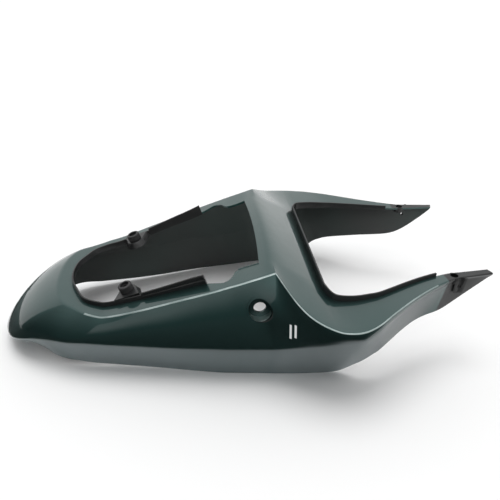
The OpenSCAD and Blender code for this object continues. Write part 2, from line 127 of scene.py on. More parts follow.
def deck_z(x):
    """The upper deck: a slope that runs out level, with a small rise at the tail."""
    slope = SEAT_H + x * math.tan(PITCH)
    level = (slope + TAIL_H + math.sqrt((slope - TAIL_H) ** 2 + LEVEL_SOFT ** 2)) / 2
    return level + TAIL_RISE * max(0, -x - DECK + RISE_BEFORE)


def arm_z(f):
    return ARM_H + f * (SEAT_H - ARM_H)


print("deck at the saddle", round(deck_z(0), 1), "at the tail", round(deck_z(-DECK), 1))


# %% Points of the four curves at the stations
def inner_points():
    bay = []
    for s, w in BAY_EDGE:
        x = -BAY_STRIP - s * BAY_L
        bay.append(Vector((x, w * BAY_W / 2, deck_z(x))))
    y0 = bay[-1].y
    side = []
    for s, z in SADDLE_EDGE:
        side.append(Vector((mix(-BAY_STRIP, SADDLE, s), mix(y0, CORNER_W / 2, s), arm_z(z))))
    front = []
    for s, w, z in RIDER_EDGE:
        front.append(Vector((mix(SADDLE, ARM, s), w * RIDER_W / 2 or CORNER_W / 2, arm_z(z))))
    return bay + side + front


def deck_points():
    rear = [Vector((-s * DECK, w * DECK_W / 2, deck_z(-s * DECK))) for s, w in DECK_EDGE]
    haunch = [Vector((s * ARM, mix(DECK_W, HAUNCH_W, w) / 2, arm_z(z))) for s, w, z in HAUNCH_EDGE]
    arm = [Vector((s * ARM, mix(TIP_W, HAUNCH_W, w) / 2, arm_z(z))) for s, w, z in ARM_EDGE]
    return rear + haunch + arm


def belly_points(deck):
    rear = [Vector((-s * TAIL, w * BELLY_W / 2, z * SEAT_H)) for s, w, z in BELLY_EDGE]
    front = [Vector((s * ARM, w * BELLY_W / 2, z * SEAT_H)) for s, w, z in BELLY_FRONT]
    arm = []
    for i, (drop, inset, ahead) in enumerate(BELLY_ARM):
        p = deck[ST_ARM + i]
        arm.append(Vector((p.x + ahead, p.y - inset, p.z - drop)))
    return rear + front + arm


def base_points():
    rear = [Vector((-s * TAIL, w * BASE_W / 2, z)) for s, w, z in BASE_EDGE]
    front = [Vector((s * ARM, w * BASE_W / 2, z)) for s, w, z in BASE_FRONT + BASE_ARM]
    return rear + front


STATIONS = {"inner": inner_points(), "deck": deck_points(), "base": base_points()}
STATIONS["belly"] = belly_points(STATIONS["deck"])
print({name: len(points) for name, points in STATIONS.items()})


# %% [markdown]
# ## Smooth curves through the stations
# A curve whose bend jumps at each station would show as a kink in every reflection. A cubic
# spline solved for all stations at once keeps the bend continuous. Two of the curves have one
# true corner, at the saddle and at the rider's bay, and are solved there in two halves.

# %% A cubic spline with an optional corner
MIRRORED = 3


def flip(p):
    return Vector((p.x, -p.y, p.z))


def bends(points):
    """Second derivatives of a natural cubic spline through evenly numbered points."""
    n = len(points)
    upper, right = [0.0] * n, [Vector((0, 0, 0))] * n
    for i in range(1, n - 1):
        pull = 6 * (points[i - 1] - 2 * points[i] + points[i + 1])
        scale = 4 - upper[i - 1]
        upper[i] = 1 / scale
        right[i] = (pull - right[i - 1]) / scale
    out = [Vector((0, 0, 0))] * n
    for i in range(n - 2, 0, -1):
        out[i] = right[i] - upper[i] * out[i + 1]
    return out


class Guide:
    """One guide curve. Its parameter is the station's number.

    It starts with a few stations of the other half, so that it crosses the middle smoothly.
    """

    def __init__(self, points, corner=None):
        mirrored = [flip(points[k]) for k in range(MIRRORED, 0, -1)]
        cut = corner or len(points) - 1
        self.parts = [(-MIRRORED, mirrored + points[: cut + 1])]
        if corner:
            self.parts.append((corner, points[corner:]))
        self.parts = [(start, pts, bends(pts)) for start, pts in self.parts]

    def at(self, t):
        start, pts, bend = self.parts[-1] if t >= self.parts[-1][0] else self.parts[0]
        k = min(int(t - start), len(pts) - 2)
        f = t - start - k
        g = 1 - f
        return (pts[k] * g + pts[k + 1] * f
                + ((g ** 3 - g) * bend[k] + (f ** 3 - f) * bend[k + 1]) / 6)


INNER = Guide(STATIONS["inner"], ST_RIDER)
DECKS = Guide(STATIONS["deck"], ST_CORNER)
BELLY = Guide(STATIONS["belly"])
BASE = Guide(STATIONS["base"])
print("deck crease at the haunch", tuple(round(v, 1) for v in DECKS.at(18)))


# %% [markdown]
# ## Sections
# Each section runs from the edge of the opening over the deck, round the deck's crease, down
# the bulging side, round the belly and down to the lower edge. The creases are small arcs,
# because a real moulding has no knife edges and the arcs carry the thin bright highlights; on
# the deck's crease a pale painted highlight is added as well.
# They are a little softer at the tail.

# %% Pieces of one section
ARC_SHARE = 0.42
TAIL_SPAN, FULL_BULGE_FROM = 4, 60


def bowed(a, b, out, h, t):
    return a + (b - a) * t + out * (h * 4 * t * (1 - t))


def arc(a, c, b, r, steps):
    """A rounded corner at c between a and b, as a quadratic curve."""
    p = c + (a - c).normalized() * min(r, (a - c).length * ARC_SHARE)
    q = c + (b - c).normalized() * min(r, (b - c).length * ARC_SHARE)
    ts = [i / steps for i in range(steps + 1)]
    return [p * (1 - t) ** 2 + c * (2 * t * (1 - t)) + q * t * t for t in ts]


def along(guide, t):
    """The guide's direction at station t."""
    e = 0.05
    return (guide.at(min(t + e, LAST)) - guide.at(t - e)).normalized()


def bow(t):
    """How far the side panel bulges at station t. Low panels bulge less."""
    f = max(0.0, 1 - t / TAIL_SPAN)
    size = mix(BULGE, TAIL_BULGE, f * f * (3 - 2 * f))
    return size * min(1, (BELLY.at(t) - DECKS.at(t)).length / FULL_BULGE_FROM)


def mitred(n1, n2):
    """The step that moves a corner in by 1 from both of its faces."""
    return (n1 + n2) / max(1 + n1.dot(n2), 0.5)


print("bulge at the tail and at the saddle", round(bow(0), 1), round(bow(ST_CORNER), 1))

# %% [markdown]
# ## Below the sharp corner
# The deck's crease turns a sharp corner at the saddle, but the side panel under it flows on.
# Near the corner the panel is therefore drawn towards the crease's mean, and its outward
# direction turns gradually instead of jumping there.

# %% The panel's way past the corner
EASE, EASE_STEPS = 5 / 3, 20


def near_corner(t):
    """1 at the corner's station, fading to 0 on both sides."""
    away = abs(t - ST_CORNER) / EASE
    return 0.0 if away > 2 else math.cos(away * math.pi / 4) ** 2


def ease(t):
    """The way from the crease to its mean around station t."""
    share = near_corner(t)
    if not share:
        return Vector((0, 0, 0))
    places = [t + EASE * i / EASE_STEPS for i in range(-EASE_STEPS, EASE_STEPS + 1)]
    mean = sum((DECKS.at(place) for place in places), Vector((0, 0, 0))) / len(places)
    return (mean - DECKS.at(t)) * share


def calm(t, u):
    """The crease's direction, turned gradually near the deck's sharp corner."""
    share = near_corner(t)
    if not share:
        return u
    wide = (DECKS.at(t + EASE) - DECKS.at(t - EASE)).normalized()
    return mix(u, wide, share).normalized()


print("the panel moves in at the corner by", tuple(round(v, 1) for v in ease(ST_CORNER)))

# %% One whole section
STEPS_DECK, STEPS_ARC, STEPS_SIDE, STEPS_BELLY, STEPS_BAND = 7, 6, 16, 7, 8
CREASE_R, BELLY_R, TAIL_SOFT = 2.4, 4.5, 5
LEAST_CREASE_R, LEAST_BELLY_R = 0.8, 1
END, PANEL = 0.06, 0.93


def section(t, depth):
    """The section at station t, moved in from the painted face by depth."""
    a, b, c, d = INNER.at(t), DECKS.at(t), BELLY.at(t), BASE.at(t)
    u, v, h = along(DECKS, t), along(BELLY, t), bow(t)
    out = calm(t, u).cross(c - b).normalized()
    if depth:
        n1 = u.cross(b - a).normalized()
        n2 = u.cross(bowed(b, c, out, h, END) - b).normalized()
        n3 = v.cross(c - bowed(b, c, out, h, 1 - END)).normalized()
        n4 = v.cross(d - c).normalized()
        a, b = a - n1 * depth, b - mitred(n1, n2) * depth
        c, d = c - mitred(n3, n4) * depth, d - n4 * depth
    soft = max(0.0, 1 - t / TAIL_SOFT)
    e = ease(t)
    g1, g2 = bowed(b, c, out, h, END), bowed(b, c, out, h, 1 - END)
    crease = arc(a, b, g1 + (g1 - b) * 6, max(CREASE_R + soft - depth, LEAST_CREASE_R), STEPS_ARC)
    belly = arc(g2 + (g2 - c) * 6, c, d, max(BELLY_R + 3 * soft - depth, LEAST_BELLY_R), STEPS_BELLY)
    deck = [mix(a, crease[0], i / STEPS_DECK) for i in range(STEPS_DECK)]
    fs = [i / STEPS_SIDE for i in range(1, STEPS_SIDE)]
    side = [bowed(crease[-1], belly[0], out, h * PANEL, f) + e * (5 * f * (1 - f) ** 2) for f in fs]
    band = [mix(belly[-1], d, i / STEPS_BAND) for i in range(1, STEPS_BAND + 1)]
    return deck + crease + side + belly + band


tail_section = section(0, 0)
ends = round(tail_section[0].z), round(tail_section[-1].z)
print("points in a section", len(tail_section), "from z and to z", ends)

# %% [markdown]
# ## The shell's mesh
# The left half is a grid of sections; the right half is its mirror image. The inner skin is
# the same grid moved in by the wall, and the rims close the two. Rows lie closer together
# beside the bay and along the arms, where the stations are far apart.

# %% Rows, and the span of the saddle between the two bays
WIDE_ROWS, CLOSE_ROWS = 7, 10
ROWS = []
for k in range(LAST):
    steps = CLOSE_ROWS if 7 <= k < 10 or k >= 21 else WIDE_ROWS
    ROWS += [k + i / steps for i in range(steps)]
ROWS.append(float(LAST))
SPAN = 16
print("rows", len(ROWS))


def span_points(t, depth):
    """The saddle's half from the middle plane to the side of the bays."""
    a = INNER.at(t)
    s = min(max((t - ST_BAY) / (ST_RIDER - ST_BAY), 0), 1)
    u = along(INNER, t)
    points = []
    for j in range(SPAN):
        f = j / SPAN
        rise = (1 - f * f) * (1 - s)
        points.append(Vector((a.x + rise * CROWN, a.y * f, a.z + rise * CROWN)))
    if depth:
        slope = Vector((u.x, 0, u.z)).normalized()
        n = Vector((-slope.z, 0, slope.x))
        points = [p - n * depth for p in points]
    return points


# %% A mesh in the making
SMOOTH = math.radians(32)


class Mesh:
    """Points in millimetres from the saddle's corner, and faces with a material number."""

    def __init__(self):
        self.points, self.faces, self.paints = [], [], []

    def point(self, p):
        self.points.append(p)
        return len(self.points) - 1

    def face(self, ids, paint):
        if len(set(ids)) > 2:
            self.faces.append(ids)
            self.paints.append(paint)

    def add(self, other):
        offset = len(self.points)
        self.points += other.points
        self.faces += [tuple(i + offset for i in ids) for ids in other.faces]
        self.paints += other.paints

    def object(self, name, materials):
        data = bpy.data.meshes.new(name)
        shifted = [((p.x + SHIFT) * MM, p.y * MM, p.z * MM) for p in self.points]
        data.from_pydata(shifted, [], self.faces)
        for m in materials:
            data.materials.append(m)
        data.polygons.foreach_set("material_index", self.paints)
        data.polygons.foreach_set("use_smooth", [True] * len(self.faces))
        data.set_sharp_from_angle(angle=SMOOTH)
        data.update()
        obj = bpy.data.objects.new(name, data)
        bpy.context.scene.collection.objects.link(obj)
        return obj


# %% Which finish a face of the outer skin gets
PAINT, BARE, INSIDE, PAINTED_HIGHLIGHT = 0, 1, 2, 3
BARE_FROM = 24.0
# between these stations the deck's crease gets the painted highlight
LINE_FROM, LINE_TO = 4, 23.5


def outside(t, j):
    """Paint, but bare plastic at the arm tips and a pale painted highlight along the deck's crease."""
    if t >= BARE_FROM:
        return BARE
    on_crease = 1 <= j - SPAN - STEPS_DECK <= STEPS_ARC - 2
    return PAINTED_HIGHLIGHT if LINE_FROM < t < LINE_TO and on_crease else PAINT


# %% The grid of one skin, and the whole shell
def skin(mesh, side, depth):
    grid = []
    for t in ROWS:
        span = span_points(t, depth) if ST_BAY <= t <= ST_RIDER else [None] * SPAN
        row = []
        for p in span + section(t, depth):
            row.append(None if p is None else mesh.point(p if side == 1 else flip(p)))
        grid.append(row)
    return grid


def shell_mesh():
    mesh = Mesh()
    for side in (1, -1):
        outer, inner = skin(mesh, side, 0), skin(mesh, side, WALL)
        cols = len(outer[0])

        def has(r, j):
            if not (0 <= r < len(ROWS) - 1 and 0 <= j < cols - 1):
                return False
            return j >= SPAN or (ST_BAY <= ROWS[r] and ROWS[r + 1] <= ST_RIDER)

        def quad(a, b, c, d, paint):
            mesh.face((a, d, c, b) if side == 1 else (a, b, c, d), paint)

        for r in range(len(ROWS) - 1):
            o1, o2, i1, i2 = outer[r], outer[r + 1], inner[r], inner[r + 1]
            rim = BARE if ROWS[r] >= BARE_FROM else PAINT
            for j in range(cols - 1):
                if not has(r, j):
                    continue
                quad(o1[j], o2[j], o2[j + 1], o1[j + 1], outside(ROWS[r], j))
                quad(i1[j], i1[j + 1], i2[j + 1], i2[j], INSIDE)
                if j > 0 and not has(r, j - 1):
                    quad(o1[j], i1[j], i2[j], o2[j], PAINT)
                if not has(r, j + 1):
                    quad(o2[j + 1], i2[j + 1], i1[j + 1], o1[j + 1], rim)
                if r > 0 and not has(r - 1, j):
                    quad(o1[j + 1], i1[j + 1], i1[j], o1[j], PAINT)
                if r < len(ROWS) - 1 and not has(r + 1, j):
                    quad(o2[j], i2[j], i2[j + 1], o2[j + 1], PAINT)
    return mesh


print("points across one half", SPAN + len(tail_section), "and along it", len(ROWS))

# %% [markdown]
# ## Lips
# The bays have upstanding lips that hold the seat's rubber edge. On the real part they stay
# bare black plastic, apart from two low painted ones at the front of the pillion bay. A lip is
# a short profile, with a rounded top, carried along the edge of the bay. The tall lips also
# have a lengthwise groove, which shows as a fine light line.

# %% A profile carried along the edge
LIP_T, LIP_OUT = 2.8, 0.2


def lip_profile(h, groove):
    a, b = LIP_OUT - LIP_T, LIP_OUT
    crown = [
        (b, h - 0.9), (b - 0.3, h - 0.25), (b - 0.9, h), (a + 0.9, h), (a + 0.3, h - 0.25), (a, h - 0.9),
    ]
    slot = [(b, h * 0.4), (b - 0.7, h * 0.46), (b - 0.7, h * 0.54), (b, h * 0.6)]
    return [(a, -WALL), (b, -WALL)] + (slot if groove else []) + crown


def add_lip(mesh, path, heights, tilt=0.0, side=1, groove=False, paint=BARE):
    """A lip that grows or shrinks from the first to the second of its heights."""
    up = Vector((math.sin(-tilt), 0, math.cos(tilt)))
    rings = []
    for i, p in enumerate(path):
        run = (path[min(i + 1, len(path) - 1)] - path[max(i - 1, 0)]).normalized()
        out = up.cross(run).normalized()
        profile = lip_profile(mix(*heights, i / (len(path) - 1)), groove)
        ring = [p + out * s + up * z for s, z in profile]
        rings.append([mesh.point(q if side == 1 else flip(q)) for q in ring])
    n = len(rings[0])
    for r1, r2 in zip(rings, rings[1:]):
        for k in range(n):
            q = (r1[k], r1[(k + 1) % n], r2[(k + 1) % n], r2[k])
            mesh.face(q[::-1] if side == 1 else q, paint)
    mesh.face(tuple(rings[0]) if side == 1 else tuple(rings[0][::-1]), paint)
    mesh.face(tuple(rings[-1][::-1]) if side == 1 else tuple(rings[-1]), paint)


# %% All lips
REAR_LIP, TALL_LIP, FRONT_LIP, RIDER_LIP = (7.0, 7.0), (10, 15.5), (0.9, 0.9), (11, 5)
RIDER_LIP_END = 23.667
LIP_STEP, ACROSS = 0.08, 12


def edge_path(t0, t1):
    n = max(2, round(abs(t1 - t0) / LIP_STEP))
    return [INNER.at(mix(t0, t1, i / n)) for i in range(n + 1)]


def lips_mesh():
    mesh = Mesh()
    rear = [flip(p) for p in edge_path(7, 0)] + edge_path(0, 7)[1:]
    add_lip(mesh, rear, REAR_LIP)
    corner = INNER.at(ST_RIDER)
    across = [mix(flip(corner), corner, i / ACROSS) for i in range(ACROSS + 1)]
    add_lip(mesh, across, (RIDER_LIP[0], RIDER_LIP[0]))
    for side in (1, -1):
        add_lip(mesh, edge_path(7, 9), TALL_LIP, PITCH, side, groove=True)
        add_lip(mesh, edge_path(12, 13), FRONT_LIP, PITCH, side, paint=PAINT)
        add_lip(mesh, edge_path(17, RIDER_LIP_END), RIDER_LIP, 0, side)
    return mesh


print("profile points, plain and grooved", len(lip_profile(7, False)), len(lip_profile(7, True)))

# %% [markdown]
# ## Ears
# Two ears reach into the pillion bay and carry the rubber grommets, square to the sloping deck.
# Each is a round plate that widens into a foot. Rings around the hole make it: every ring has
# the plate's outline, grown by a few tenths for the edge and by some millimetres for the foot.

# %% Ears
GROMMET = Vector((-213.0, 77.0, deck_z(-213.0) + 9))
EAR_T, EAR_R, EAR_FLARE, EAR_REACH, NECK_R, EAR_STEPS = 3.0, 14.0, 6.0, 17.0, 7.0, 96
EAR_RINGS = [
    (None, 0.0), (-0.6, 0.0), (0, -0.6), (1.5, -4.0), (4.0, -9.0), (2.5, -9.0),
    (-1.8, -EAR_T), (None, -EAR_T),
]


def ear_outline(angle, grow):
    """Distance from the ear's hole to its edge; the ear widens towards the deck."""
    dx, dy = math.cos(angle), math.sin(angle)
    r = EAR_R + grow
    if dy <= 0:
        return r
    side = r / max(abs(dx) - dy * EAR_FLARE / EAR_REACH, 1e-6)
    end = EAR_REACH / max(dy, 1e-6)
    return min(side, end)


def ears_mesh():
    mesh = Mesh()
    ex = Vector((math.cos(PITCH), 0, math.sin(PITCH)))
    ey = Vector((0, 1, 0))
    ez = Vector((-math.sin(PITCH), 0, math.cos(PITCH)))
    for side in (1, -1):
        rows = []
        for grow, z in EAR_RINGS:
            row = []
            for i in range(EAR_STEPS):
                a = 2 * math.pi * i / EAR_STEPS
                r = NECK_R if grow is None else ear_outline(a, grow)
                p = GROMMET + ex * (math.cos(a) * r) + ey * (math.sin(a) * r) + ez * z
                row.append(mesh.point(p if side == 1 else flip(p)))
            rows.append(row)
        for r1, r2 in zip(rows, rows[1:] + rows[:1]):
            for i in range(EAR_STEPS):
                j = (i + 1) % EAR_STEPS
                q = (r1[i], r2[i], r2[j], r1[j])
                mesh.face(q if side == 1 else q[::-1], BARE)
    return mesh


print("grommet centre", tuple(round(v, 1) for v in GROMMET))

# %% [markdown]
# ## Lock recess and screw pockets
# On the right side a round recess, with a level axis, takes the seat lock. Near the arm tips a
# screw sits in a pocket, and the flank is scooped out beside it. Their places follow from the
# sizes and the guide curves, as in the part's source, so they stay right when the shape changes.
# Only the lock's depth is typed in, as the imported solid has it.

# %% Places of the lock and of the arm screws
SUB = 3
deck_rows = [DECKS.at(r / SUB) for r in range(LAST * SUB + 1)]
LOCK_X, LOCK_Y, LOCK_Z, LOCK_R, RECESS_R, RECESS_H = 23.0, 158.753, 119.0, 8.75, 16.5, 8.0
lock_t = max(r for r, p in enumerate(deck_rows) if p.x < -LOCK_X) / SUB
d0, b0 = DECKS.at(lock_t), BELLY.at(lock_t)
LEAN = math.atan2(b0.y - d0.y, d0.z - b0.z)
SCREW_X = ARM - 61.0
screw_t = max(r for r, p in enumerate(deck_rows) if p.x < SCREW_X) / SUB
CREASE_Y, DECK_TOP = DECKS.at(screw_t).y, DECKS.at(screw_t).z
SCREW_Y, LEDGE, SCREW_R, POCKET_R, LEDGE_R = CREASE_Y - 10, 7.0, 4, 6, 8.5
SCOOP_X, SCOOP_Y, SCOOP_R, SCOOP_H = SCREW_X + 8, CREASE_Y + 3, 7.0, 26.0
DRAIN_R, DRAIN_DROP = 2.5, 17
FLANK = math.atan2(CREASE_Y - BASE.at(screw_t).y, DECK_TOP - BASE.at(screw_t).z)
print("panel leans", round(math.degrees(LEAN), 2), "screw y", round(SCREW_Y, 2), "deck", round(DECK_TOP, 2))


# %% [markdown]
# ## Cutting
# A hole in a curved skin is hard to model point by point and easy to cut: a rod is pushed
# through and the boolean modifier takes it away. The modifier is applied at once and the rod
# removed, so that nothing but the finished mesh stays.

# %% Rods and blocks to cut with
def rod(base, axis, r, h, paint=BARE, steps=64):
    """A closed cylinder along any axis."""
    mesh = Mesh()
    w = Vector(axis).normalized()
    u = w.orthogonal().normalized()
    v = w.cross(u)
    rings = []
    for radius, height in ((0, 0), (r, 0), (r, h), (0, h)):
        centre = Vector(base) + w * height
        if radius == 0:
            rings.append([mesh.point(centre)] * steps)
            continue
        angles = [2 * math.pi * i / steps for i in range(steps)]
        rings.append([mesh.point(centre + (u * math.cos(a) + v * math.sin(a)) * radius) for a in angles])
    for r1, r2 in zip(rings, rings[1:]):
        for i in range(steps):
            j = (i + 1) % steps
            mesh.face(tuple(dict.fromkeys((r1[i], r1[j], r2[j], r2[i]))), paint)
    return mesh


def block_under(origin, normal, size=60):
    """A big block on the inner side of a plane."""
    mesh = Mesh()
    w = Vector(normal).normalized()
    u = w.orthogonal().normalized()
    v = w.cross(u)
    ids = []
    for dz in (0, -size):
        for a, b in ((-1, -1), (1, -1), (1, 1), (-1, 1)):
            ids.append(mesh.point(Vector(origin) + (u * a + v * b) * size + w * dz))
    for q in ((0, 1, 2, 3), (7, 6, 5, 4), (0, 4, 5, 1), (1, 5, 6, 2), (2, 6, 7, 3), (3, 7, 4, 0)):
        mesh.face(tuple(ids[i] for i in q), BARE)
    return mesh


# %% The boolean modifier, applied at once
def apply_modifiers(obj):
    view = bpy.context.evaluated_depsgraph_get()
    made = bpy.data.meshes.new_from_object(obj.evaluated_get(view))
    obj.modifiers.clear()
    old, obj.data = obj.data, made
    bpy.data.meshes.remove(old)


def carve(obj, meshes, operation="DIFFERENCE"):
    """Cuts, joins or keeps the overlap with each helper mesh, then removes the helpers."""
    helpers = [m.object("helper", obj.data.materials) for m in meshes]
    for helper in helpers:
        mod = obj.modifiers.new("cut", "BOOLEAN")
        mod.operation, mod.solver, mod.object = operation, "EXACT", helper
    bpy.context.view_layer.update()
    apply_modifiers(obj)
    for helper in helpers:
        bpy.data.objects.remove(helper)


# %% The arm's holes, and the ledge that backs them
UP = (0, 0, 1)


def arm_cutters(side):
    return [
        rod((SCREW_X, side * SCREW_Y, DECK_TOP - LEDGE), UP, POCKET_R, 30),
        rod((SCREW_X, side * SCREW_Y, DECK_TOP - LEDGE - 2 * WALL), UP, SCREW_R, 3 * WALL),
        rod((SCOOP_X, side * SCOOP_Y, DECK_TOP - SCOOP_H), UP, SCOOP_R, 60),
        rod((SCOOP_X, side * SCOOP_Y, DECK_TOP - DRAIN_DROP), (0, -side, 0), DRAIN_R, 2 * SCOOP_R),
    ]


def arm_backing(materials, side):
    """The ledge under the pocket and the wall round the scoop, kept inside the arm's flank."""
    top = DECK_TOP - 1
    ledge = rod((SCREW_X, side * SCREW_Y, DECK_TOP - LEDGE - WALL), UP, LEDGE_R, LEDGE + WALL - 1)
    scoop_z = DECK_TOP - SCOOP_H - WALL
    scoop = rod((SCOOP_X, side * SCOOP_Y, scoop_z), UP, SCOOP_R + WALL, SCOOP_H + WALL - 1)
    flank = Vector((0, side * math.cos(FLANK), -math.sin(FLANK)))
    obj = ledge.object("ledge", materials)
    carve(obj, [scoop], "UNION")
    carve(obj, [block_under(Vector((SCREW_X, side * (CREASE_Y - 1), top)), flank)], "INTERSECT")
    carve(obj, arm_cutters(side))
    return obj


# %% The lock's cup
PLAY, CUP_START, CUP_STEPS, LOW_WALL = 0.04, 2.0, 72, -0.35


def lock_cup(mesh):
    """The recess's wall and its floor with the lock's hole. The low wall gets a painted highlight."""
    slant = math.tan(LEAN)
    profile = [
        (RECESS_R + PLAY, None), (RECESS_R + PLAY, RECESS_H), (LOCK_R, RECESS_H),
        (LOCK_R, RECESS_H + WALL), (RECESS_R + WALL, RECESS_H + WALL), (RECESS_R + WALL, None),
    ]
    rows = []
    for r, depth in profile:
        row = []
        for i in range(CUP_STEPS):
            a = 2 * math.pi * i / CUP_STEPS
            dz = math.sin(a) * r
            y = LOCK_Y - (depth if depth is not None else CUP_START + dz * slant)
            row.append(mesh.point(Vector((-LOCK_X + math.cos(a) * r, -y, LOCK_Z + dz))))
        rows.append(row)
    for r1, r2 in zip(rows, rows[1:]):
        for i in range(CUP_STEPS):
            j = (i + 1) % CUP_STEPS
            # the lower part of the wall gets the painted highlight
            low = r1 is rows[0] and math.sin(2 * math.pi * i / CUP_STEPS) < LOW_WALL
            mesh.face((r1[i], r2[i], r2[j], r1[j]), PAINTED_HIGHLIGHT if low else PAINT)


# %% [markdown]
# ## Writing shader maths
# A node tree is a formula drawn with wires. Wrapping a socket in a small class lets the
# formula be written as one, and every expression adds its Math nodes by itself. Every other
# node comes from one method that takes its type, its settings and its inputs.

# %% A socket that can be used in a formula
class Value:
    def __init__(self, look, socket):
        self.look, self.socket = look, socket

    def _math(self, operation, a, b):
        return self.look.node("ShaderNodeMath", {"operation": operation}, {0: a, 1: b}).out()

    def __add__(self, other):
        return self._math("ADD", self, other)

    def __radd__(self, other):
        return self._math("ADD", other, self)

    def __sub__(self, other):
        return self._math("SUBTRACT", self, other)

    def __rsub__(self, other):
        return self._math("SUBTRACT", other, self)

    def __mul__(self, other):
        return self._math("MULTIPLY", self, other)

    def __rmul__(self, other):
        return self._math("MULTIPLY", other, self)

    def most(self, other):
        return self._math("MAXIMUM", self, other)

    def band(self, low, high):
        """0 below low, 1 above high, smooth in between."""
        node = self.look.node("ShaderNodeMapRange", {"interpolation_type": "SMOOTHSTEP"},
                              {"Value": self, "From Min": low, "From Max": high})
        return node.out("Result")


class Placed:
    """A node that has been placed; out() gives one of its outputs."""

    def __init__(self, look, node):
        self.look, self.node = look, node

    def out(self, name=0):
        return Value(self.look, self.node.outputs[name])


# %% A material, or the world, as a set of nodes
class Look:
    def __init__(self, name, kind=bpy.data.materials):
        self.material = kind.new(name)
        self.material.use_nodes = True
        self.tree = self.material.node_tree
        self.tree.nodes.clear()

    def node(self, kind, settings=None, inputs=None):
        node = self.tree.nodes.new(kind)
        for key, value in (settings or {}).items():
            setattr(node, key, value)
        for key, value in (inputs or {}).items():
            if isinstance(value, Value):
                self.tree.links.new(value.socket, node.inputs[key])
            else:
                node.inputs[key].default_value = value
        return Placed(self, node)

    def place(self):
        return self.node("ShaderNodeTexCoord").out("Object")

    def part_of(self, vector, name):
        return self.node("ShaderNodeSeparateXYZ", None, {0: vector}).out(name)

    def axis(self, name):
        return self.part_of(self.place(), name)

    def facing_down(self, steep, level):
        """1 where the surface faces down steeply, 0 where it is nearly upright or faces up."""
        normal = self.node("ShaderNodeNewGeometry").out("Normal")
        return 1 - self.part_of(normal, "Z").band(steep, level)

    def patch(self, x, z, soft=0.0004):
        """A mask on the right side panel: 1 between two x and two z, 0 elsewhere."""
        across, height, side = self.axis("X"), self.axis("Z"), 1 - self.axis("Y").band(-0.002, 0)
        wide = across.band(x[0] - soft, x[0]) * (1 - across.band(x[1], x[1] + soft))
        tall = height.band(z[0] - soft, z[0]) * (1 - height.band(z[1], z[1] + soft))
        return wide * tall * side

    def noise(self, scale, detail=3.0, rough=0.5):
        return self.node("ShaderNodeTexNoise", None, {
            "Vector": self.place(), "Scale": scale, "Detail": detail, "Roughness": rough}).out("Fac")

    def colour(self, low, high, factor):
        """A colour that goes from low to high as factor goes from 0 to 1."""
        low, high = (end if isinstance(end, Value) else (*end, 1) for end in (low, high))
        return self.node("ShaderNodeMix", {"data_type": "RGBA"}, {"Factor": factor, 6: low, 7: high}).out(2)

    def bump(self, height, strength, distance):
        return self.node("ShaderNodeBump", None, {
            "Height": height, "Strength": strength, "Distance": distance}).out()

    def finish(self, **inputs):
        """The surface itself. An input's name is written with _ for its spaces."""
        named = {key.replace("_", " "): value for key, value in inputs.items()}
        for key, value in named.items():
            if isinstance(value, tuple):
                named[key] = (*value, 1)
        surface = self.node("ShaderNodeBsdfPrincipled", None, named).out()
        self.node("ShaderNodeOutputMaterial", None, {"Surface": surface})
        return self.material


# %% [markdown]
# ## Paint
# The outside is a dark green metallic paint under clear coat: a near-black green where it
# mirrors a dark room and a teal grey where it mirrors a bright wall. Its flakes are far too
# small to see from a step away, so they are a faint change of colour, and the clear coat has
# the slight ripple of sprayed paint. The band below the belly crease faces down and mirrors the
# pale floor; that reflection is painted in as a grey base colour under a thinner coat, picked out
# by a mask made from the surface's own direction. Two short pale strokes on the right panel are
# painted, glowing reflections of lamps.

# %% Paint
GREEN, GREEN_FLAKE, GREEN_CLOUD = (0.024, 0.064, 0.060), (0.036, 0.084, 0.079), (0.034, 0.076, 0.074)
# painted reflection of the pale floor on faces that face down, paler on the body than on the arms
FLOOR_REFLECTION_BODY, FLOOR_REFLECTION_ARM = (0.27, 0.315, 0.325), (0.095, 0.112, 0.115)
# two painted lamp reflections on the right panel, drawn as faint glowing strokes
LAMP_GLINT_PATCHES = (((0.0588, 0.0610), (0.0894, 0.1107)), ((0.0648, 0.0670), (0.0933, 0.1127)))
LAMP_GLINT_GLOW = (0.6, 0.62, 0.62)


def paint_look():
    look = Look("green_metallic_paint")
    flakes = look.noise(2600.0, 2.0).band(0.35, 0.7)
    cloud = look.noise(9.0, 3.0).band(0.3, 0.7)
    base = look.colour(look.colour(GREEN, GREEN_FLAKE, flakes), GREEN_CLOUD, cloud * 0.35)
    # where the surface faces down, the base colour becomes a painted reflection of the pale floor
    down = look.facing_down(-0.34, -0.05)
    painted_floor_reflection = look.colour(FLOOR_REFLECTION_BODY, FLOOR_REFLECTION_ARM, look.axis("X").band(0.13, 0.24))
    # painted, glowing lamp reflections
    painted_lamp_glints = look.patch(*LAMP_GLINT_PATCHES[0]) + look.patch(*LAMP_GLINT_PATCHES[1])
    ripple = look.bump(look.noise(140.0, 2.0, 0.4), 0.06, 0.0006)
    return look.finish(Base_Color=look.colour(base, painted_floor_reflection, down), Metallic=0.95,
                       Roughness=look.noise(60.0) * 0.08 + 0.42,
                       Coat_Weight=1 - down * 0.8, Coat_Roughness=0.02, Coat_IOR=1.5, Normal=ripple,
                       Emission_Color=look.colour((0, 0, 0), LAMP_GLINT_GLOW, painted_lamp_glints), Emission_Strength=1.0)


def painted_highlight_look():
    """A painted highlight: a fine pale line along the deck's crease, also put on the lock recess's low
    wall.
    """
    look = Look("painted_crease_highlight")
    highlight_mottle = look.noise(35.0, 3.0).band(0.25, 0.75)
    return look.finish(Base_Color=look.colour((0.20, 0.27, 0.26), (0.42, 0.50, 0.49), highlight_mottle), Metallic=0.9,
                       Roughness=look.noise(60.0) * 0.08 + 0.38,
                       Coat_Weight=1.0, Coat_Roughness=0.02, Coat_IOR=1.5)


